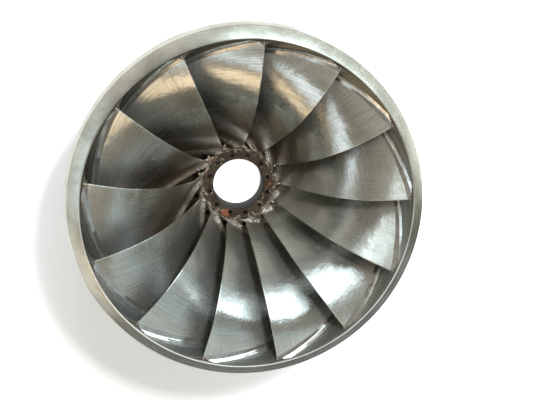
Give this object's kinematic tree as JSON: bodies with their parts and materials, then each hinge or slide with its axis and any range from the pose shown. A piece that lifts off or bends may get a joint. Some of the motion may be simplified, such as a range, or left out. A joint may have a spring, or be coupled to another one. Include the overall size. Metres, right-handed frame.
{
  "type": "francis turbine runner",
  "caption": "Welded steel runner of a francis turbine: a bored crown disc, an outer band and twisted blades between them, outlet side up.",
  "frame": {"origin": "centre of the crown's shaft face, on the axis of rotation", "axes": "+Z along the axis of rotation towards the outlet, +X towards the trailing edge of blade_01"},
  "size_m": [1.168, 1.168, 0.54],
  "materials": {
    "crown_steel": "brown, lightly rusted",
    "band_steel": "turned",
    "ring_steel": "turned",
    "blade_steel": "ground and polished",
    "weld_metal": "ground weld"
  },
  "bodies": {
    "root": {"crown": "crown_steel", "band": "band_steel", "band_wear_ring": "ring_steel", "crown_wear_ring": "ring_steel", "blade_01": "blade_steel", "blade_02": "blade_steel", "blade_03": "blade_steel", "blade_04": "blade_steel", "blade_05": "blade_steel", "blade_06": "blade_steel", "blade_07": "blade_steel", "blade_08": "blade_steel", "blade_09": "blade_steel", "blade_10": "blade_steel", "blade_11": "blade_steel", "blade_12": "blade_steel", "blade_13": "blade_steel", "band_weld_01": "weld_metal", "band_weld_02": "weld_metal", "band_weld_03": "weld_metal", "band_weld_04": "weld_metal", "band_weld_05": "weld_metal", "band_weld_06": "weld_metal", "band_weld_07": "weld_metal", "band_weld_08": "weld_metal", "band_weld_09": "weld_metal", "band_weld_10": "weld_metal", "band_weld_11": "weld_metal", "band_weld_12": "weld_metal", "band_weld_13": "weld_metal", "crown_weld_01": "weld_metal", "crown_weld_02": "weld_metal", "crown_weld_03": "weld_metal", "crown_weld_04": "weld_metal", "crown_weld_05": "weld_metal", "crown_weld_06": "weld_metal", "crown_weld_07": "weld_metal", "crown_weld_08": "weld_metal", "crown_weld_09": "weld_metal", "crown_weld_10": "weld_metal", "crown_weld_11": "weld_metal", "crown_weld_12": "weld_metal", "crown_weld_13": "weld_metal"}
  },
  "joints": []
}
